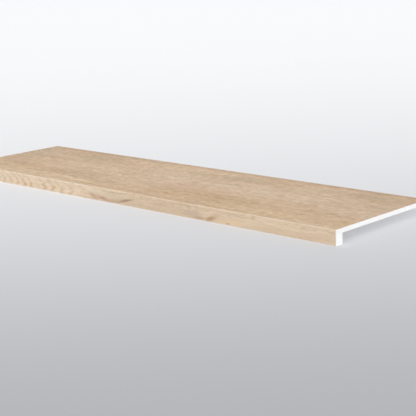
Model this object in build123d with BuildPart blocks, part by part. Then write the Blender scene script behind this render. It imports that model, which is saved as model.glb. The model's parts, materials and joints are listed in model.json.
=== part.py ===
from build123d import *

import os

# Stair tread trim: a thin board whose front edge turns down into a thick nose, one L-shaped section
# along its whole length. The length runs along X, the nose faces -Y and the walking face is +Z.
# The origin is under the middle of the tread, level with the foot of the nose.

# Driving dimensions, in millimetres
tread_length = 1200.0  # along X, from sawn end to sawn end
tread_depth = 300.0  # along Y, from the nose's face to the back edge
board_thickness = 9.0  # along Z, behind the nose
nose_height = 30.0  # along Z, from the walking face to the foot of the nose
nose_thickness = 20.0  # along Y, from the nose's face to the side that hooks over the step
nose_radius = 1.0  # eased edge between the walking face and the nose's face
foot_radius = 0.5  # eased edges along the foot of the nose

# Places that follow from them
front = -tread_depth / 2
back = tread_depth / 2
nose_back = front + nose_thickness
underside = nose_height - board_thickness

# The tread: its section, drawn seen from the right end, run along the whole length
with BuildPart() as stair_tread:
    with BuildSketch(Plane.YZ):
        with BuildLine():
            Polyline(
                (front, 0),
                (nose_back, 0),
                (nose_back, underside),
                (back, underside),
                (back, nose_height),
                (front, nose_height),
                close=True,
            )
        make_face()
    extrude(amount=tread_length / 2, both=True)

    # Eased edge along the front of the walking face
    front_edges = stair_tread.edges().filter_by(Axis.X).group_by(Axis.Y)[0]
    fillet(front_edges.sort_by(Axis.Z)[-1], radius=nose_radius)

    # Eased edges along both sides of the nose's foot
    foot_edges = stair_tread.edges().filter_by(Axis.X).group_by(Axis.Z)[0]
    fillet(foot_edges, radius=foot_radius)
stair_tread.part.label = "stair_tread"

os.makedirs("parts", exist_ok=True)
export_step(stair_tread.part, "parts/stair_tread.step")
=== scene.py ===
"""Looks of a stair tread trim: a white-cored board with a thick nose, printed with oak on top and front.

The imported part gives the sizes. One piece stands for the tread, with its eased edges and three finishes:
the walking face, the nose and the bare core. Lengths are metres, and the print is laid out in millimetres.
"""

import json
import logging
import math
from dataclasses import dataclass, field
from enum import Enum

import bmesh
import bpy
from mathutils import Matrix, Vector


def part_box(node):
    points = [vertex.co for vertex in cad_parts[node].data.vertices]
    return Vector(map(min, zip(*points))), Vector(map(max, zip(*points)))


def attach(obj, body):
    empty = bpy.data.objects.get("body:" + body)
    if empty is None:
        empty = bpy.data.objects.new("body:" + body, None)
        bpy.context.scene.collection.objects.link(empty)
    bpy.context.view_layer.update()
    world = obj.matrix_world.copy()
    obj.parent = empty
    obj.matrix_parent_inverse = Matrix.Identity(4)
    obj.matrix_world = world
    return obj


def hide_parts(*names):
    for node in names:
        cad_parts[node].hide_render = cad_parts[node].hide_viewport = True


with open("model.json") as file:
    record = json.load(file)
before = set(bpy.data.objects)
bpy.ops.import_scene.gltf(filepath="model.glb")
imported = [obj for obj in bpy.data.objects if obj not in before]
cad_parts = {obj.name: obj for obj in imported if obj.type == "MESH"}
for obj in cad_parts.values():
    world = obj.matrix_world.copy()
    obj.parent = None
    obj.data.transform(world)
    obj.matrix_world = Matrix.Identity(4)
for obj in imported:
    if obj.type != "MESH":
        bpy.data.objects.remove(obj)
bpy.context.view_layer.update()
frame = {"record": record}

NODE = "stair_tread"
BODY = "root"
PIECE = "oak_stair_tread"
TEXTURE_MAP = "OFBake"
MM_PER_M = 1000.0

log = logging.getLogger(NODE)

Colour = tuple[float, float, float, float]
Triple = tuple[float, float, float]
Span = tuple[float, float]
Socket = bpy.types.NodeSocket
Feed = Socket | float | Triple | Colour


def srgb(red: int, green: int, blue: int) -> Colour:
    """Turns a colour as a screen shows it, 0 to 255, into the linear one that shaders take.

    Args:
        red: the screen's red.
        green: the screen's green.
        blue: the screen's blue.

    Returns:
        The linear colour, with full alpha.
    """
    shares = [part / 255 for part in (red, green, blue)]
    linear = [s / 12.92 if s <= 0.04045 else ((s + 0.055) / 1.055) ** 2.4 for s in shares]
    return (linear[0], linear[1], linear[2], 1.0)


def mesh_data(name: str, mesh: bmesh.types.BMesh) -> bpy.types.Mesh:
    """Turns what was modelled into a mesh that an object can show, and frees it.

    Args:
        name: the new mesh's name.
        mesh: what was modelled.

    Returns:
        The new mesh.
    """
    data = bpy.data.meshes.new(name)
    mesh.to_mesh(data)
    mesh.free()
    return data


def put_in_scene(name: str, data: bpy.types.ID) -> bpy.types.Object:
    """Puts a mesh, a lamp or a camera into the scene, at the origin.

    Args:
        name: the new object's name.
        data: the mesh, lamp or camera.

    Returns:
        The new object.
    """
    made = bpy.data.objects.new(name, data)
    bpy.context.scene.collection.objects.link(made)
    return made


class SocketKind(Enum):
    """The kinds of socket on the edge of a node group."""

    VALUE = "NodeSocketFloat"
    PLACE = "NodeSocketVector"


class NodeSheet:
    """A node tree being filled in, with a short method for each kind of node it uses."""

    def __init__(self, tree: bpy.types.NodeTree) -> None:
        """Takes the tree that the nodes go into."""
        self.tree = tree

    def add(self, kind: str, inputs: dict[int | str, Feed], **settings: object) -> bpy.types.Node:
        """Adds one node.

        Args:
            kind: Blender's name of the node's type.
            inputs: what goes into its sockets, by index or name.
            settings: the node's own properties.

        Returns:
            The new node.
        """
        node = self.tree.nodes.new(kind)
        for name, value in settings.items():
            setattr(node, name, value)
        for key, value in inputs.items():
            self.feed(node.inputs[key], value)
        return node

    def feed(self, socket: Socket, value: Feed) -> None:
        """Links a socket to another one, or sets its value.

        Args:
            socket: the socket that takes something in.
            value: another node's output, or a plain value.
        """
        if isinstance(value, Socket):
            self.tree.links.new(value, socket)
        else:
            socket.default_value = value

    def math(self, operation: str, first: Feed, second: Feed = 0.0) -> Socket:
        """Returns one sum on two values."""
        return self.add("ShaderNodeMath", {0: first, 1: second}, operation=operation).outputs[0]

    def weighed(self, value: Feed, weight: float, start: float = 0.0) -> Socket:
        """Returns start plus weight times the value."""
        inputs = {0: value, 1: weight, 2: start}
        return self.add("ShaderNodeMath", inputs, operation="MULTIPLY_ADD").outputs[0]

    def swing(self, noise: Feed, reach: float) -> Socket:
        """Returns noise, which lies about 0.5, as a value about 0 that would reach this far at 0 and 1."""
        return self.weighed(noise, 2.0 * reach, -reach)

    def share(self, value: Feed) -> Socket:
        """Returns a value about 0 as a share about 0.5: 0 where the value is -1, and 1 where it is 1."""
        return self.weighed(value, 0.5, 0.5)

    def step(self, value: Feed, low: float, high: float, first: float = 0.0, last: float = 1.0) -> Socket:
        """Returns a smooth step.

        Args:
            value: what is measured.
            low: where the step begins.
            high: where it ends, which may be below low.
            first: the result at the beginning and before it.
            last: the result at the end and past it.

        Returns:
            The socket with the result.
        """
        inputs = {0: value, 1: low, 2: high, 3: first, 4: last}
        return self.add("ShaderNodeMapRange", inputs, interpolation_type="SMOOTHSTEP").outputs[0]

    def vector(self, operation: str, first: Feed, second: Feed = (0.0, 0.0, 0.0)) -> bpy.types.NodeOutputs:
        """Places one sum on two vectors and returns its outputs."""
        return self.add("ShaderNodeVectorMath", {0: first, 1: second}, operation=operation).outputs

    def triple(self, first: Feed = 0.0, second: Feed = 0.0, third: Feed = 0.0) -> Socket:
        """Returns a vector made of three values."""
        return self.add("ShaderNodeCombineXYZ", {0: first, 1: second, 2: third}).outputs[0]

    def part(self, vector: Feed, axis: int) -> Socket:
        """Returns one part of a vector, X, Y or Z by its number."""
        return self.add("ShaderNodeSeparateXYZ", {0: vector}).outputs[axis]

    def noise(self, place: Feed, cell: Feed, detail: float = 2.0, roughness: float = 0.5) -> Socket:
        """Returns soft noise about 0.5.

        Args:
            place: where it is read.
            cell: the size of its coarsest patches, in the place's own unit.
            detail: how many finer layers lie on those patches.
            roughness: how strong the finer layers are.

        Returns:
            The socket with the noise.
        """
        spread = self.vector("DIVIDE", place, cell)["Vector"]
        inputs = {"Vector": spread, "Scale": 1.0, "Detail": detail, "Roughness": roughness}
        return self.add("ShaderNodeTexNoise", inputs).outputs[0]

    def mix(self, share: Feed, first: Feed, second: Feed, blend: str = "MIX") -> Socket:
        """Returns two colours mixed. The node's colours go in at sockets 6 and 7, and come out at 2."""
        inputs = {0: share, 6: first, 7: second}
        return self.add("ShaderNodeMix", inputs, data_type="RGBA", blend_type=blend).outputs[2]

    def bump(self, height: Socket, strength: float, rise_mm: float) -> Socket:
        """Returns the surface's normal, bent by a height that is 1 where it rises this many millimetres."""
        inputs = {"Strength": strength, "Distance": rise_mm / MM_PER_M, "Height": height}
        return self.add("ShaderNodeBump", inputs).outputs[0]

    def group(self, tree: bpy.types.NodeTree, inputs: dict[int | str, Feed]) -> bpy.types.NodeOutputs:
        """Places a node group and returns its outputs."""
        return self.add("ShaderNodeGroup", inputs, node_tree=tree).outputs


class NewGroup:
    """A shader node group as it is being made: its nodes, what comes in and what goes out."""

    def __init__(self, name: str, inputs: dict[str, SocketKind], outputs: dict[str, SocketKind]) -> None:
        """Starts the group.

        Args:
            name: the group's name.
            inputs: its named inputs.
            outputs: its named outputs.
        """
        self.tree = bpy.data.node_groups.new(name, "ShaderNodeTree")
        for side, sockets in (("INPUT", inputs), ("OUTPUT", outputs)):
            for label, kind in sockets.items():
                self.tree.interface.new_socket(name=label, in_out=side, socket_type=kind.value)
        self.sheet = NodeSheet(self.tree)
        self.given = self.tree.nodes.new("NodeGroupInput").outputs
        self.result = self.tree.nodes.new("NodeGroupOutput").inputs


class NewMaterial:
    """A material as it is being made: its nodes, and the inputs of its shader."""

    def __init__(self, name: str) -> None:
        """Starts the material.

        Args:
            name: the material's name.
        """
        self.material = bpy.data.materials.new(name)
        self.material.use_nodes = True
        self.sheet = NodeSheet(self.material.node_tree)
        self.shader = self.material.node_tree.nodes["Principled BSDF"].inputs

    def place(self) -> Socket:
        """Returns places on the object, in metres."""
        return self.sheet.add("ShaderNodeTexCoord", {}).outputs["Object"]

    def place_mm(self, turn: Triple = (0.0, 0.0, 0.0)) -> Socket:
        """Returns places on the object in millimetres, turned by so many radians about X, Y and Z."""
        inputs = {"Vector": self.place(), "Rotation": turn, "Scale": (MM_PER_M, MM_PER_M, MM_PER_M)}
        return self.sheet.add("ShaderNodeMapping", inputs).outputs[0]


@dataclass
class OakPrint:
    """The node groups that every oak-printed face is drawn with. Places are millimetres, grain along X.

    A cell is the size of a pattern's coarsest patches: along the grain, across it and into the face. A ring
    is dark for a span of its year, and pale again at a later share of it. Pores open over a span of noise,
    and sooner in the dark of a ring.
    """

    bend_cell: Triple = (260.0, 40.0, 50.0)
    waver_cell: Triple = (44.0, 8.0, 50.0)
    cloud_cell: Triple = (300.0, 56.0, 50.0)
    hue_cell: Triple = (260.0, 40.0, 33.0)
    fibre_cell: Triple = (70.0, 4.5, 50.0)
    pore_cell: Triple = (14.0, 0.8, 50.0)
    fleck_length: float = 17.0
    depth_wander: float = 0.35
    waver_years: float = 1.5
    ring_dark: Span = (0.16, 0.24)
    ring_pale: float = 0.7
    weakest_ring: float = 0.3
    pore_opens: Span = (0.63, 0.72)
    ring_porosity: float = 0.2
    spot_middle: float = 0.1
    rings: bpy.types.NodeTree = field(init=False)
    grain: bpy.types.NodeTree = field(init=False)
    spot: bpy.types.NodeTree = field(init=False)

    def __post_init__(self) -> None:
        """Builds the groups once."""
        self.rings = self.growth_rings()
        self.grain = self.fibre_and_pores()
        self.spot = self.soft_spot()

    def growth_rings(self) -> bpy.types.NodeTree:
        """Builds the growth rings that a saw cut shows: bands of distance from the log's pith.

        Returns:
            The group, which puts out the rings' dark bands.
        """
        value = SocketKind.VALUE
        inputs = {"Place": SocketKind.PLACE}
        names = ("Pith Depth", "Pith Across", "Ring Width", "Wander", "First Year")
        inputs |= {name: value for name in names}
        made = NewGroup("growth_rings", inputs, {"Earlywood": value})
        sheet, given = made.sheet, made.given
        bend = sheet.swing(sheet.noise(given["Place"], self.bend_cell), 1.0)
        waver = sheet.noise(given["Place"], self.waver_cell, detail=3.0)
        wander = sheet.math("MULTIPLY", bend, given["Wander"])
        across = sheet.math("SUBTRACT", sheet.part(given["Place"], 1), given["Pith Across"])
        across = sheet.math("ADD", across, wander)
        depth = sheet.math("ADD", given["Pith Depth"], sheet.weighed(wander, self.depth_wander))
        away = sheet.vector("LENGTH", sheet.triple(across, depth))["Value"]
        years = sheet.math("DIVIDE", away, given["Ring Width"])
        years = sheet.math("ADD", years, sheet.weighed(waver, self.waver_years))
        phase = sheet.math("FRACT", years)
        year = {"W": sheet.math("ADD", sheet.math("FLOOR", years), given["First Year"])}
        vigour = sheet.add("ShaderNodeTexWhiteNoise", year, noise_dimensions="1D").outputs["Value"]
        vigour = sheet.weighed(vigour, 1.0 - self.weakest_ring, self.weakest_ring)
        darkens = sheet.step(phase, 0.0, self.ring_dark[0])
        pales = sheet.step(phase, self.ring_pale, self.ring_dark[1])
        band = sheet.math("MULTIPLY", darkens, pales)
        sheet.feed(made.result["Earlywood"], sheet.math("MULTIPLY", band, vigour))
        return made.tree

    def fibre_and_pores(self) -> bpy.types.NodeTree:
        """Builds the grain from coarse to fine: clouds of tone and of hue, fibre, ray flecks and pores.

        Returns:
            The group, which puts out each of them by itself.
        """
        value = SocketKind.VALUE
        inputs = {"Place": SocketKind.PLACE, "Earlywood": value, "Fleck Width": value}
        names = ("Clouds", "Hue", "Fibre", "Flecks", "Pores")
        made = NewGroup("fibre_and_pores", inputs, {name: value for name in names})
        sheet, place, result = made.sheet, made.given["Place"], made.result
        fleck_cell = sheet.triple(self.fleck_length, made.given["Fleck Width"], self.fibre_cell[2])
        porosity = sheet.weighed(made.given["Earlywood"], self.ring_porosity)
        dashes = sheet.math("ADD", sheet.noise(place, self.pore_cell, detail=1.0), porosity)
        sheet.feed(result["Clouds"], sheet.noise(place, self.cloud_cell, detail=3.0, roughness=0.55))
        sheet.feed(result["Hue"], sheet.noise(place, self.hue_cell))
        sheet.feed(result["Fibre"], sheet.noise(place, self.fibre_cell, detail=4.0, roughness=0.62))
        sheet.feed(result["Flecks"], sheet.noise(place, fleck_cell, detail=3.0, roughness=0.55))
        sheet.feed(result["Pores"], sheet.step(dashes, *self.pore_opens))
        return made.tree

    def soft_spot(self) -> bpy.types.NodeTree:
        """Builds a soft oval, for streaks and knots.

        Returns:
            The group, which puts out 1 in the oval's middle and 0 from its rim on.
        """
        place = SocketKind.PLACE
        inputs = {"Place": place, "Centre": place, "Reach": place, "Turn": place}
        made = NewGroup("soft_spot", inputs, {"Mask": SocketKind.VALUE})
        sheet, given = made.sheet, made.given
        oval = {
            "Vector": given["Place"],
            "Location": given["Centre"],
            "Rotation": given["Turn"],
            "Scale": given["Reach"],
        }
        local = sheet.add("ShaderNodeMapping", oval, vector_type="TEXTURE").outputs[0]
        flat = sheet.vector("MULTIPLY", local, (1.0, 1.0, 0.0))["Vector"]
        away = sheet.vector("LENGTH", flat)["Value"]
        sheet.feed(made.result["Mask"], sheet.step(away, 1.0, self.spot_middle))
        return made.tree


@dataclass(frozen=True)
class GrainSpot:
    """An oval stretch of a printed face, in millimetres: its middle, its reach and its turn."""

    along: float
    across: float
    half_length: float
    half_width: float
    turn_deg: float

    def mask(self, sheet: NodeSheet, oak: OakPrint, place: Socket) -> Socket:
        """Draws the spot.

        Args:
            sheet: the material's nodes.
            oak: the node groups of the print.
            place: millimetres on the face.

        Returns:
            1 in the middle of the spot, falling softly to 0 at its rim.
        """
        inputs = {
            "Place": place,
            "Centre": (self.along, self.across, 0.0),
            "Reach": (self.half_length, self.half_width, 1.0),
            "Turn": (0.0, 0.0, math.radians(self.turn_deg)),
        }
        return sheet.group(oak.spot, inputs)["Mask"]


@dataclass(frozen=True)
class GrainAndLightStreak(GrainSpot):
    """A spot of another tone, such as a streak along the grain or a knot, or painted highlight or painted
    shade along an edge.
    """

    colour: Colour
    strength: float

    def laid_on(self, sheet: NodeSheet, oak: OakPrint, place: Socket, tone: Socket) -> Socket:
        """Returns a colour with the streak laid over it."""
        return sheet.mix(sheet.weighed(self.mask(sheet, oak, place), self.strength), tone, self.colour)


@dataclass(frozen=True)
class PithLine:
    """How the log's pith runs behind a printed face, in millimetres, which shapes the growth rings there.

    The pith sinks from depth to depth plus sink between two places along the face. Arches stand where it
    sinks, and straight grain where it runs level. The first year sets which rings come out strong or weak.
    """

    depth: float
    sink: float
    sink_from: float
    sink_to: float
    across: float
    ring_width: float
    wander: float
    first_year: float


@dataclass(frozen=True)
class OakFinish:
    """One printed face: how its grain is laid out, its tones and its feel.

    Clouds and hue blend over a span of noise. Pores and fibre add to the plain film's roughness. In its
    relief a pore is relief_mm deep, and the rings' depth and the fibre's height are shares of that.
    """

    name: str
    turn: Triple
    pith: PithLine
    light: Colour
    brown: Colour
    warm: Colour
    ring_tint: Colour
    ring_strength: float
    bold_rings: GrainSpot
    bold_strength: float
    streaks: tuple[GrainAndLightStreak, ...]
    ragged: float
    fleck_width: float
    fibre_strength: float
    fleck_strength: float
    dark_grain: Colour = (0.86, 0.83, 0.79, 1.0)
    light_grain: Colour = (1.14, 1.17, 1.21, 1.0)
    pore_tint: Colour = srgb(205, 183, 160)
    pore_strength: float = 0.7
    cloud_span: Span = (0.3, 0.7)
    hue_span: Span = (0.45, 0.75)
    warm_share: float = 0.8
    gloss_level: float = 0.12
    roughness: float = 0.5
    pore_roughness: float = 0.15
    fibre_roughness: float = 0.2
    ring_depth: float = 0.3
    fibre_height: float = 0.5
    relief_strength: float = 0.3
    relief_mm: float = 0.2

    def material(self, oak: OakPrint) -> bpy.types.Material:
        """Builds the printed film's material.

        Args:
            oak: the node groups of the print.

        Returns:
            The material.
        """
        made = NewMaterial(self.name)
        sheet, shader = made.sheet, made.shader
        place = made.place_mm(self.turn)
        earlywood = self.earlywood(sheet, oak, place)
        inputs = {"Place": place, "Earlywood": earlywood, "Fleck Width": self.fleck_width}
        grain = sheet.group(oak.grain, inputs)
        tone = self.ground(sheet, oak, place, grain)
        tone = self.ringed(sheet, oak, place, earlywood, tone)
        sheet.feed(shader["Base Color"], self.grained(sheet, grain, tone))
        rough = sheet.weighed(grain["Pores"], self.pore_roughness, self.roughness)
        rough = sheet.math("ADD", rough, sheet.weighed(grain["Fibre"], self.fibre_roughness))
        sheet.feed(shader["Roughness"], rough)
        shader["Specular IOR Level"].default_value = self.gloss_level
        sunk = sheet.math("ADD", grain["Pores"], sheet.weighed(earlywood, self.ring_depth))
        height = sheet.math("SUBTRACT", sheet.weighed(grain["Fibre"], self.fibre_height), sunk)
        sheet.feed(shader["Normal"], sheet.bump(height, self.relief_strength, self.relief_mm))
        return made.material

    def earlywood(self, sheet: NodeSheet, oak: OakPrint, place: Socket) -> Socket:
        """Draws the growth rings' dark bands.

        Args:
            sheet: the material's nodes.
            oak: the node groups of the print.
            place: millimetres on the face.

        Returns:
            How dark the rings are, 0 to 1.
        """
        pith, along = self.pith, sheet.part(place, 0)
        deepest = pith.depth + pith.sink
        inputs = {
            "Place": place,
            "Pith Depth": sheet.step(along, pith.sink_from, pith.sink_to, pith.depth, deepest),
            "Pith Across": pith.across,
            "Ring Width": pith.ring_width,
            "Wander": pith.wander,
            "First Year": pith.first_year,
        }
        return sheet.group(oak.rings, inputs)["Earlywood"]

    def ground(self, sheet: NodeSheet, oak: OakPrint, place: Socket, grain: bpy.types.NodeOutputs) -> Socket:
        """Lays the print's broad tones: clouds of colour, and the streaks that lie over them, painted
        highlights and painted shade along the edges among them.

        Args:
            sheet: the material's nodes.
            oak: the node groups of the print.
            place: millimetres on the face.
            grain: the grain's own outputs.

        Returns:
            The colour so far.
        """
        tone = sheet.mix(sheet.step(grain["Clouds"], *self.cloud_span), self.light, self.brown)
        tone = sheet.mix(sheet.step(grain["Hue"], *self.hue_span, 0.0, self.warm_share), tone, self.warm)
        shift = sheet.triple(0.0, sheet.swing(grain["Fibre"], self.ragged))
        ragged = sheet.vector("ADD", place, shift)["Vector"]
        for streak in self.streaks:
            tone = streak.laid_on(sheet, oak, ragged, tone)
        return tone

    def ringed(
        self, sheet: NodeSheet, oak: OakPrint, place: Socket, earlywood: Socket, tone: Socket
    ) -> Socket:
        """Lays the growth rings over the broad tones, bolder in one stretch.

        Args:
            sheet: the material's nodes.
            oak: the node groups of the print.
            place: millimetres on the face.
            earlywood: the growth rings' dark bands.
            tone: the broad tones.

        Returns:
            The colour so far.
        """
        bold = sheet.weighed(self.bold_rings.mask(sheet, oak, place), self.bold_strength, self.ring_strength)
        return sheet.mix(sheet.math("MULTIPLY", earlywood, bold), tone, self.ring_tint, "MULTIPLY")

    def grained(self, sheet: NodeSheet, grain: bpy.types.NodeOutputs, tone: Socket) -> Socket:
        """Lays the fibre, flecks and pores over the rings.

        Args:
            sheet: the material's nodes.
            grain: the grain's own outputs.
            tone: the ringed colour.

        Returns:
            The finished colour.
        """
        fibre = sheet.swing(grain["Fibre"], self.fibre_strength)
        flecks = sheet.swing(grain["Flecks"], self.fleck_strength)
        fine = sheet.share(sheet.math("ADD", fibre, flecks))
        tone = sheet.mix(1.0, tone, sheet.mix(fine, self.dark_grain, self.light_grain), "MULTIPLY")
        return sheet.mix(sheet.weighed(grain["Pores"], self.pore_strength), tone, self.pore_tint, "MULTIPLY")


@dataclass(frozen=True)
class CoreFinish:
    """The bare white core, on the sawn ends, the back edge and the underside.

    A broad mottle and fine lines along its length add up, and its shade blends in over a span of the sum.
    """

    name: str
    white: Colour
    shade: Colour
    mottle_cell: Triple = (70.0, 14.0, 14.0)
    line_cell: Triple = (260.0, 1.3, 1.3)
    mottle_weight: float = 0.6
    line_weight: float = 0.7
    shade_span: Span = (0.45, 0.9)
    gloss_level: float = 0.25
    roughness: float = 0.5
    mottle_roughness: float = 0.25
    relief_strength: float = 0.25
    relief_mm: float = 0.1

    def material(self) -> bpy.types.Material:
        """Builds the core's material: white, with lines along its length that end as a fine speckle.

        Returns:
            The material.
        """
        made = NewMaterial(self.name)
        sheet, shader = made.sheet, made.shader
        place = made.place_mm()
        mottle = sheet.noise(place, self.mottle_cell, detail=4.0, roughness=0.6)
        lines = sheet.noise(place, self.line_cell, detail=3.0, roughness=0.6)
        weighed_lines = sheet.weighed(lines, self.line_weight)
        pattern = sheet.math("ADD", sheet.weighed(mottle, self.mottle_weight), weighed_lines)
        tone = sheet.mix(sheet.step(pattern, *self.shade_span), self.white, self.shade)
        sheet.feed(shader["Base Color"], tone)
        sheet.feed(shader["Roughness"], sheet.weighed(mottle, self.mottle_roughness, self.roughness))
        shader["Specular IOR Level"].default_value = self.gloss_level
        sheet.feed(shader["Normal"], sheet.bump(lines, self.relief_strength, self.relief_mm))
        return made.material


# A streak: its middle along and across the grain, half its length and width, its turn, colour and strength
WALKING_STREAKS = (
    # The front strip, then the greyer and browner patches at the back
    GrainAndLightStreak(0.0, -108.0, 5000.0, 62.0, 0.0, srgb(205, 177, 143), 0.35),
    GrainAndLightStreak(-620.0, 82.0, 200.0, 118.0, 0.0, srgb(181, 160, 135), 0.7),
    GrainAndLightStreak(-365.0, 100.0, 170.0, 60.0, 0.0, srgb(182, 160, 130), 0.65),
    GrainAndLightStreak(-470.0, 142.0, 190.0, 16.0, 0.0, srgb(180, 150, 120), 0.6),
    GrainAndLightStreak(520.0, 100.0, 180.0, 62.0, 0.0, srgb(178, 156, 128), 0.7),
    GrainAndLightStreak(480.0, 142.0, 200.0, 16.0, 0.0, srgb(178, 149, 118), 0.5),
    GrainAndLightStreak(70.0, 138.0, 210.0, 20.0, 0.0, srgb(184, 157, 127), 0.45),
    GrainAndLightStreak(150.0, 88.0, 105.0, 30.0, 0.0, srgb(186, 167, 141), 0.6),
    # The paler middle
    GrainAndLightStreak(-60.0, 105.0, 170.0, 28.0, 0.0, srgb(212, 187, 157), 0.6),
    GrainAndLightStreak(-40.0, 60.0, 190.0, 50.0, 0.0, srgb(208, 188, 164), 0.6),
    GrainAndLightStreak(40.0, 18.0, 180.0, 42.0, 0.0, srgb(215, 194, 170), 0.6),
    GrainAndLightStreak(260.0, 14.0, 260.0, 52.0, 0.0, srgb(213, 192, 169), 0.6),
    GrainAndLightStreak(200.0, 56.0, 190.0, 28.0, 0.0, srgb(213, 194, 172), 0.4),
    GrainAndLightStreak(530.0, 30.0, 170.0, 45.0, 0.0, srgb(198, 178, 157), 0.45),
    GrainAndLightStreak(530.0, -20.0, 190.0, 45.0, 0.0, srgb(211, 190, 166), 0.45),
    GrainAndLightStreak(-200.0, 108.0, 90.0, 42.0, 0.0, srgb(215, 190, 162), 0.45),
    GrainAndLightStreak(-350.0, 50.0, 120.0, 26.0, 0.0, srgb(188, 166, 141), 0.4),
    GrainAndLightStreak(340.0, 90.0, 80.0, 60.0, 0.0, srgb(212, 189, 163), 0.25),
    # Browner and paler streaks towards the front
    GrainAndLightStreak(50.0, -28.0, 210.0, 32.0, 0.0, srgb(205, 175, 150), 0.5),
    GrainAndLightStreak(270.0, -28.0, 160.0, 26.0, 0.0, srgb(216, 190, 162), 0.45),
    GrainAndLightStreak(-520.0, -45.0, 140.0, 42.0, -8.0, srgb(184, 155, 127), 0.55),
    GrainAndLightStreak(-260.0, -75.0, 190.0, 32.0, -4.0, srgb(186, 161, 135), 0.65),
    GrainAndLightStreak(-120.0, -96.0, 160.0, 26.0, 0.0, srgb(188, 161, 132), 0.55),
    GrainAndLightStreak(80.0, -98.0, 140.0, 30.0, 0.0, srgb(199, 168, 137), 0.5),
    GrainAndLightStreak(220.0, -84.0, 160.0, 24.0, 0.0, srgb(187, 157, 124), 0.5),
    GrainAndLightStreak(400.0, -58.0, 130.0, 28.0, 0.0, srgb(213, 185, 156), 0.45),
    GrainAndLightStreak(580.0, -62.0, 100.0, 24.0, 0.0, srgb(196, 169, 144), 0.5),
    GrainAndLightStreak(-420.0, -96.0, 100.0, 20.0, 0.0, srgb(213, 184, 153), 0.5),
    GrainAndLightStreak(-370.0, -130.0, 180.0, 22.0, 0.0, srgb(214, 188, 158), 0.6),
    GrainAndLightStreak(150.0, -133.0, 230.0, 20.0, 0.0, srgb(197, 168, 140), 0.5),
    GrainAndLightStreak(390.0, -122.0, 170.0, 32.0, 0.0, srgb(210, 181, 148), 0.6),
    # Narrow streaks over them
    GrainAndLightStreak(-190.0, -117.0, 160.0, 8.0, -7.0, srgb(224, 200, 172), 0.75),
    GrainAndLightStreak(-130.0, -131.0, 150.0, 7.0, -4.0, srgb(186, 153, 120), 0.75),
    GrainAndLightStreak(-30.0, -141.0, 110.0, 6.0, -2.0, srgb(219, 188, 152), 0.6),
    GrainAndLightStreak(262.0, -76.0, 110.0, 8.0, 0.0, srgb(180, 150, 116), 0.4),
    GrainAndLightStreak(440.0, -95.0, 80.0, 18.0, -20.0, srgb(204, 172, 146), 0.5),
    GrainAndLightStreak(527.0, -60.0, 45.0, 9.0, -14.0, srgb(184, 154, 126), 0.5),
    # Painted light along the edges: a painted highlight on the front edge, and painted shade on the back
    # edge
    GrainAndLightStreak(0.0, -153.0, 5000.0, 9.0, 0.0, srgb(219, 196, 168), 0.7),
    GrainAndLightStreak(0.0, 152.0, 5000.0, 26.0, 0.0, srgb(182, 154, 125), 0.6),
)
NOSE_STREAKS = (
    # Broad tones
    GrainAndLightStreak(-480.0, 10.0, 110.0, 26.0, 0.0, srgb(204, 186, 162), 0.4),
    GrainAndLightStreak(120.0, 5.0, 300.0, 34.0, 0.0, srgb(199, 177, 151), 0.75),
    GrainAndLightStreak(95.0, 19.5, 120.0, 11.0, 0.0, srgb(219, 199, 173), 0.6),
    GrainAndLightStreak(490.0, 6.0, 260.0, 22.0, 0.0, srgb(206, 184, 157), 0.65),
    GrainAndLightStreak(480.0, 20.5, 200.0, 11.0, 0.0, srgb(221, 199, 168), 0.5),
    GrainAndLightStreak(222.0, 27.0, 34.0, 5.0, 0.0, srgb(198, 176, 150), 0.5),
    # The brown figure and the dark dash near the middle
    GrainAndLightStreak(-128.0, 4.5, 34.0, 7.0, 0.0, srgb(204, 180, 155), 0.5),
    GrainAndLightStreak(-66.0, 8.0, 46.0, 11.0, -3.0, srgb(194, 162, 137), 0.55),
    GrainAndLightStreak(-88.0, 10.0, 18.0, 5.5, -18.0, srgb(172, 136, 112), 0.5),
    GrainAndLightStreak(-54.0, 7.0, 24.0, 3.6, -4.0, srgb(158, 122, 100), 0.65),
    GrainAndLightStreak(-79.0, 3.0, 14.0, 3.0, 0.0, srgb(174, 140, 114), 0.5),
    GrainAndLightStreak(-20.0, 5.2, 46.0, 6.5, 3.0, srgb(174, 144, 120), 0.6),
    GrainAndLightStreak(-14.0, 20.0, 50.0, 14.0, 0.0, srgb(202, 184, 160), 0.6),
    GrainAndLightStreak(22.0, 10.4, 42.0, 4.0, 12.5, srgb(146, 112, 95), 0.72),
    # The knot on the right and what lies round it
    GrainAndLightStreak(128.0, 16.5, 50.0, 8.0, 0.0, srgb(190, 165, 141), 0.5),
    GrainAndLightStreak(230.0, 11.0, 46.0, 10.0, 2.0, srgb(189, 165, 148), 0.7),
    GrainAndLightStreak(250.0, 4.0, 30.0, 5.0, 3.0, srgb(172, 141, 114), 0.6),
    GrainAndLightStreak(290.0, 11.0, 34.0, 11.0, 20.0, srgb(202, 170, 138), 0.55),
    GrainAndLightStreak(281.0, 6.2, 22.0, 6.0, 16.0, srgb(160, 124, 90), 0.6),
    GrainAndLightStreak(338.0, 7.0, 52.0, 9.0, 0.0, srgb(224, 196, 159), 0.6),
    GrainAndLightStreak(331.0, 3.2, 9.0, 2.2, 0.0, srgb(168, 132, 98), 0.6),
    GrainAndLightStreak(490.0, 2.0, 110.0, 3.0, 0.0, srgb(200, 170, 134), 0.45),
    GrainAndLightStreak(550.0, 11.0, 60.0, 9.0, 3.0, srgb(202, 177, 154), 0.45),
    # A painted highlight: the pale line where the eased edge catches the light
    GrainAndLightStreak(-250.0, 30.5, 460.0, 4.8, 0.0, srgb(236, 220, 200), 0.75),
    GrainAndLightStreak(120.0, 30.5, 170.0, 4.8, 0.0, srgb(226, 207, 184), 0.5),
    GrainAndLightStreak(470.0, 30.5, 280.0, 4.8, 0.0, srgb(230, 211, 187), 0.5),
)

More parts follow.
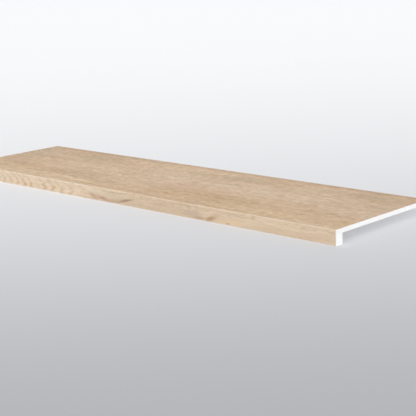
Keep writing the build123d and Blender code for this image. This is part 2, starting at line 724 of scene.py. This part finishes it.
WALKING_FACE = OakFinish(
    name="oak_print_walking_face",
    turn=(0.0, 0.0, 0.0),
    pith=PithLine(
        depth=90.0, sink=14.0, sink_from=-700.0, sink_to=700.0, across=260.0, ring_width=3.2, wander=22.0,
        first_year=0.0,
    ),
    light=srgb(209, 185, 157),
    brown=srgb(189, 164, 134),
    warm=srgb(201, 169, 139),
    ring_tint=srgb(226, 210, 192),
    ring_strength=0.4,
    bold_rings=GrainSpot(150.0, 10.0, 260.0, 60.0, 0.0),
    bold_strength=0.25,
    streaks=WALKING_STREAKS,
    ragged=9.0,
    fleck_width=11.0,
    fibre_strength=0.9,
    fleck_strength=2.0,
    dark_grain=(0.895, 0.88, 0.86, 1.0),
    light_grain=(1.18, 1.225, 1.295, 1.0),
)
NOSE_FACE = OakFinish(
    name="oak_print_nose",
    turn=(math.radians(-90.0), 0.0, 0.0),
    pith=PithLine(
        depth=40.0, sink=50.0, sink_from=-700.0, sink_to=-40.0, across=8.0, ring_width=3.0, wander=1.2,
        first_year=500.0,
    ),
    light=srgb(224, 205, 181),
    brown=srgb(215, 195, 170),
    warm=srgb(221, 199, 172),
    ring_tint=srgb(208, 189, 168),
    ring_strength=0.1,
    bold_rings=GrainSpot(-275.0, 7.5, 190.0, 11.5, 0.0),
    bold_strength=0.44,
    streaks=NOSE_STREAKS,
    ragged=2.2,
    fleck_width=4.0,
    fibre_strength=1.0,
    fleck_strength=0.7,
    pore_strength=0.4,
)
BARE_CORE = CoreFinish(name="white_core", white=srgb(246, 245, 244), shade=srgb(239, 238, 237))


class Cover(Enum):
    """What covers a face of the tread, with the face's material number."""

    WALKING_FACE = 0
    NOSE = 1
    CORE = 2


@dataclass(frozen=True)
class MapStrip:
    """A strip of the texture map, in shares of its width and height."""

    low: float
    high: float
    left: float = 0.0
    right: float = 1.0

    def at(self, along: float, up: float) -> tuple[float, float]:
        """Returns a place in the map from shares of the strip."""
        return self.left + (self.right - self.left) * along, self.low + (self.high - self.low) * up


WALKING_STRIP = MapStrip(0.25, 0.996)
NOSE_STRIP = MapStrip(0.14, 0.24)
CORE_STRIP = MapStrip(0.06, 0.13)
LEFT_END_STRIP = MapStrip(0.004, 0.05, right=0.48)
RIGHT_END_STRIP = MapStrip(0.004, 0.05, left=0.52)


@dataclass
class StairTread:
    """The tread: one L-shaped section along X, with its nose at the front, at low Y.

    A face is level, looks forwards or is an end where its normal leans far enough that way. What lies
    within the tolerance of an edge or a cut is on it.
    """

    left: float
    right: float
    front: float
    back: float
    top: float
    nose_back: float
    underside: float
    nose_radius: float = 0.001
    foot_radius: float = 0.0005
    radius_steps: int = 6
    stretches: int = 24
    sharp_deg: float = 30.0
    level_lean: float = 0.999
    forward_lean: float = 0.01
    end_lean: float = 0.5
    tolerance: float = 1e-6

    @classmethod
    def from_frame(cls, node: str) -> "StairTread":
        """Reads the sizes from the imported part.

        Args:
            node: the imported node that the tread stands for.

        Returns:
            The tread, not yet built.
        """
        low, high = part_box(node)
        mounts = {mount["name"]: Vector(mount["pos_m"]) for mount in frame["record"]["mounts"]}
        return cls(low.x, high.x, low.y, high.y, high.z, mounts["nose_inside"].y, mounts["underside"].z)

    def section(self) -> list[tuple[float, float]]:
        """Draws the section as the right end shows it.

        Returns:
            Its corners in order, as Y and Z.
        """
        return [
            (self.front, 0.0),
            (self.nose_back, 0.0),
            (self.nose_back, self.underside),
            (self.back, self.underside),
            (self.back, self.top),
            (self.front, self.top),
        ]

    def build(self) -> bpy.types.Object:
        """Models the tread.

        Returns:
            The tread, at the origin.
        """
        mesh = bmesh.new()
        mesh.faces.new([mesh.verts.new((self.left, y, z)) for y, z in self.section()])
        run = bmesh.ops.extrude_face_region(mesh, geom=mesh.faces[:])
        far = [part for part in run["geom"] if isinstance(part, bmesh.types.BMVert)]
        bmesh.ops.translate(mesh, verts=far, vec=(self.right - self.left, 0.0, 0.0))
        bmesh.ops.recalc_face_normals(mesh, faces=mesh.faces[:])
        self.ease(mesh, self.nose_radius, self.front, self.top)
        self.ease(mesh, self.foot_radius, self.front, 0.0)
        self.ease(mesh, self.foot_radius, self.nose_back, 0.0)
        self.cut_stretches(mesh)
        self.lay_texture_map(mesh)
        for face in mesh.faces:
            face.smooth = True
            face.material_index = self.cover(face).value
        data = mesh_data(PIECE, mesh)
        data.set_sharp_from_angle(angle=math.radians(self.sharp_deg))
        made = put_in_scene(PIECE, data)
        made.modifiers.new("even_shading", "WEIGHTED_NORMAL").keep_sharp = True
        return made

    def ease(self, mesh: bmesh.types.BMesh, radius: float, depth: float, height: float) -> None:
        """Rounds one long edge.

        Args:
            mesh: the tread's mesh.
            radius: the rounding's radius.
            depth: the edge's Y.
            height: the edge's Z.
        """
        line = Vector((depth, height))
        on_line = [vert for vert in mesh.verts if (vert.co.yz - line).length < self.tolerance]
        edges = [edge for edge in mesh.edges if all(end in on_line for end in edge.verts)]
        bmesh.ops.bevel(
            mesh, geom=edges, offset=radius, offset_type="OFFSET", affect="EDGES",
            segments=self.radius_steps, profile=0.5, material=-1,
        )

    def cut_stretches(self, mesh: bmesh.types.BMesh) -> None:
        """Cuts the ends into board and nose, and the length into even stretches.

        Args:
            mesh: the tread's mesh.
        """
        stretch = (self.right - self.left) / self.stretches
        planes = [((0.0, self.nose_back, 0.0), (0.0, 1.0, 0.0))]
        planes += [((0.0, 0.0, self.underside), (0.0, 0.0, 1.0))]
        planes += [((self.left + stretch * n, 0.0, 0.0), (1.0, 0.0, 0.0)) for n in range(1, self.stretches)]
        for point, normal in planes:
            parts = mesh.verts[:] + mesh.edges[:] + mesh.faces[:]
            bmesh.ops.bisect_plane(mesh, geom=parts, dist=self.tolerance, plane_co=point, plane_no=normal)

    def cover(self, face: bmesh.types.BMFace) -> Cover:
        """Tells what covers a face: the print lies on the level top and on all that looks forwards.

        Args:
            face: the face.

        Returns:
            Its cover.
        """
        if face.normal.z > self.level_lean:
            return Cover.WALKING_FACE
        if face.normal.y < -self.forward_lean:
            return Cover.NOSE
        return Cover.CORE

    def lay_texture_map(self, mesh: bmesh.types.BMesh) -> None:
        """Lays the faces out in strips, so that the printed ones get most of the texture's height.

        Args:
            mesh: the tread's mesh.
        """
        layer = mesh.loops.layers.uv.new(TEXTURE_MAP)
        for face in mesh.faces:
            for loop in face.loops:
                loop[layer].uv = self.map_place(face, loop.vert.co)

    def map_place(self, face: bmesh.types.BMFace, place: Vector) -> tuple[float, float]:
        """Finds where a corner of a face lies in the texture map.

        Args:
            face: the face.
            place: the corner, in metres.

        Returns:
            The map's two coordinates, 0 to 1.
        """
        length, depth = self.right - self.left, self.back - self.front
        along, inward = (place.x - self.left) / length, place.y - self.front
        if abs(face.normal.x) > self.end_lean:
            strip = RIGHT_END_STRIP if face.normal.x > 0.0 else LEFT_END_STRIP
            return strip.at(inward / depth, place.z / self.top)
        match self.cover(face):
            case Cover.WALKING_FACE:
                return WALKING_STRIP.at(along, inward / depth)
            case Cover.NOSE:
                climb = place.z + math.copysign(inward, place.z - self.top / 2)
                return NOSE_STRIP.at(along, climb / self.top)
            case _:
                return CORE_STRIP.at(along, (inward + place.z) / (depth + self.top))

    def dress(self, made: bpy.types.Object) -> None:
        """Gives the tread its three finishes, in the order of Cover.

        Args:
            made: the tread.
        """
        oak = OakPrint()
        made.data.materials.append(WALKING_FACE.material(oak))
        made.data.materials.append(NOSE_FACE.material(oak))
        made.data.materials.append(BARE_CORE.material())

    def place(self, made: bpy.types.Object) -> None:
        """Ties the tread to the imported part.

        Args:
            made: the tread.
        """
        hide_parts(NODE)
        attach(made, BODY)


@dataclass(frozen=True)
class SoftLamp:
    """A broad, far lamp, whose light is even over the tread and the floor."""

    name: str
    azimuth_deg: float
    elevation_deg: float
    strength: float
    width_deg: float
    casts_shadow: bool = True

    def build(self) -> None:
        """Hangs the lamp: azimuth 0 is in front of the nose, and 90 is off the right end."""
        azimuth, elevation = math.radians(self.azimuth_deg), math.radians(self.elevation_deg)
        level = math.cos(elevation)
        towards = Vector((math.sin(azimuth) * level, -math.cos(azimuth) * level, math.sin(elevation)))
        lamp = bpy.data.lights.new(self.name, "SUN")
        lamp.energy = self.strength
        lamp.angle = math.radians(self.width_deg)
        lamp.use_shadow = self.casts_shadow
        made = put_in_scene(self.name, lamp)
        made.rotation_mode = "QUATERNION"
        made.rotation_quaternion = towards.to_track_quat("Z", "Y")


@dataclass(frozen=True)
class PhotoCamera:
    """The camera that took the photograph, worked out from the tread's own edges."""

    eye: Triple = (1.76196, -1.64681, 0.51975)
    azimuth_deg: float = 44.7909
    elevation_deg: float = 13.1196
    roll_deg: float = -2.4763
    lens_mm: float = 92.62
    sensor_mm: float = 36.0

    def build(self) -> None:
        """Sets the camera up: azimuth 0 looks along +Y, and a roll turns it about its own line of sight."""
        turn = Matrix.Rotation(math.radians(self.azimuth_deg), 4, "Z")
        tip = Matrix.Rotation(math.radians(90.0 - self.elevation_deg), 4, "X")
        roll = Matrix.Rotation(math.radians(self.roll_deg), 4, "Z")
        camera = bpy.data.cameras.new("photo_camera")
        camera.lens = self.lens_mm
        camera.sensor_width = self.sensor_mm
        made = put_in_scene("photo_camera", camera)
        made.matrix_world = Matrix.Translation(self.eye) @ turn @ tip @ roll
        bpy.context.scene.camera = made


LAMPS = (
    SoftLamp("key_lamp", 46.0, 34.0, 1.58, 80.0),
    SoftLamp("fill_lamp", 52.0, 42.0, 1.6, 60.0, casts_shadow=False),
    SoftLamp("back_lamp", 215.0, 40.0, 0.3, 60.0),
)


@dataclass(frozen=True)
class Studio:
    """A plain floor, pale at the back left and greyed towards the front right by painted shade, with soft,
    even light all round.

    The floor fades along a level line that is turned from +Y about Z. Places on that line are metres from
    the origin: up to fade_from the floor is grey, and then it turns pale, the slower the longer its reach.
    """

    camera: PhotoCamera = PhotoCamera()
    floor_half: float = 40.0
    floor_drop: float = 0.0001
    grey: Colour = srgb(176, 177, 181)
    pale: Colour = srgb(251, 252, 254)
    fade_turn_deg: float = 44.79
    fade_from: float = -1.21
    fade_blend: float = 0.7
    fade_reach: float = 1.22
    sky: float = 0.3
    backdrop: float = 0.97

    def build(self) -> None:
        """Builds the floor, the world, the lamps and the camera."""
        self.build_floor()
        self.build_world()
        for lamp in LAMPS:
            lamp.build()
        self.camera.build()
        bpy.context.scene.view_settings.view_transform = "Standard"

    def build_floor(self) -> None:
        """Lays the floor just under the foot of the nose."""
        mesh = bmesh.new()
        bmesh.ops.create_grid(mesh, x_segments=1, y_segments=1, size=self.floor_half)
        bmesh.ops.translate(mesh, verts=mesh.verts[:], vec=(0.0, 0.0, -self.floor_drop))
        data = mesh_data("floor", mesh)
        data.materials.append(self.floor_material())
        floor = put_in_scene("floor", data)

    def floor_material(self) -> bpy.types.Material:
        """Builds the floor's matt material.

        Returns:
            The material.
        """
        made = NewMaterial("pale_floor")
        sheet, shader = made.sheet, made.shader
        turn = math.radians(self.fade_turn_deg)
        line = (-math.sin(turn), math.cos(turn), 0.0)
        along = sheet.vector("DOT_PRODUCT", made.place(), line)["Value"]
        inputs = {0: sheet.math("SUBTRACT", along, self.fade_from), 1: 0.0, 2: self.fade_blend}
        past = sheet.add("ShaderNodeMath", inputs, operation="SMOOTH_MAX").outputs[0]
        # Painted shade: how far the floor's colour turns grey, most at the front right and fading towards
        # the back left
        painted_shade = sheet.math("EXPONENT", sheet.weighed(past, -1.0 / self.fade_reach))
        sheet.feed(shader["Base Color"], sheet.mix(painted_shade, self.pale, self.grey))
        shader["Roughness"].default_value = 1.0
        shader["Specular IOR Level"].default_value = 0.0
        return made.material

    def build_world(self) -> None:
        """Fills the room with even light, and shows it pale to the camera and in reflections."""
        world = bpy.data.worlds.new("studio")
        world.use_nodes = True
        sheet = NodeSheet(world.node_tree)
        path = sheet.add("ShaderNodeLightPath", {}).outputs
        seen = sheet.math("MAXIMUM", path["Is Camera Ray"], path["Is Glossy Ray"])
        seen = sheet.math("MAXIMUM", seen, path["Is Transmission Ray"])
        background = world.node_tree.nodes["Background"].inputs
        background["Color"].default_value = (1.0, 1.0, 1.0, 1.0)
        sheet.feed(background["Strength"], sheet.weighed(seen, self.backdrop - self.sky, self.sky))
        bpy.context.scene.world = world


def main() -> None:
    """Builds the tread and its studio, and reports the tread's faces and finishes."""
    logging.basicConfig(level=logging.INFO, format="%(name)s: %(message)s")
    tread = StairTread.from_frame(NODE)
    made = tread.build()
    tread.dress(made)
    tread.place(made)
    log.info("%s: %d faces, %d finishes", made.name, len(made.data.polygons), len(made.data.materials))
    Studio().build()


if __name__ == "__main__":
    main()
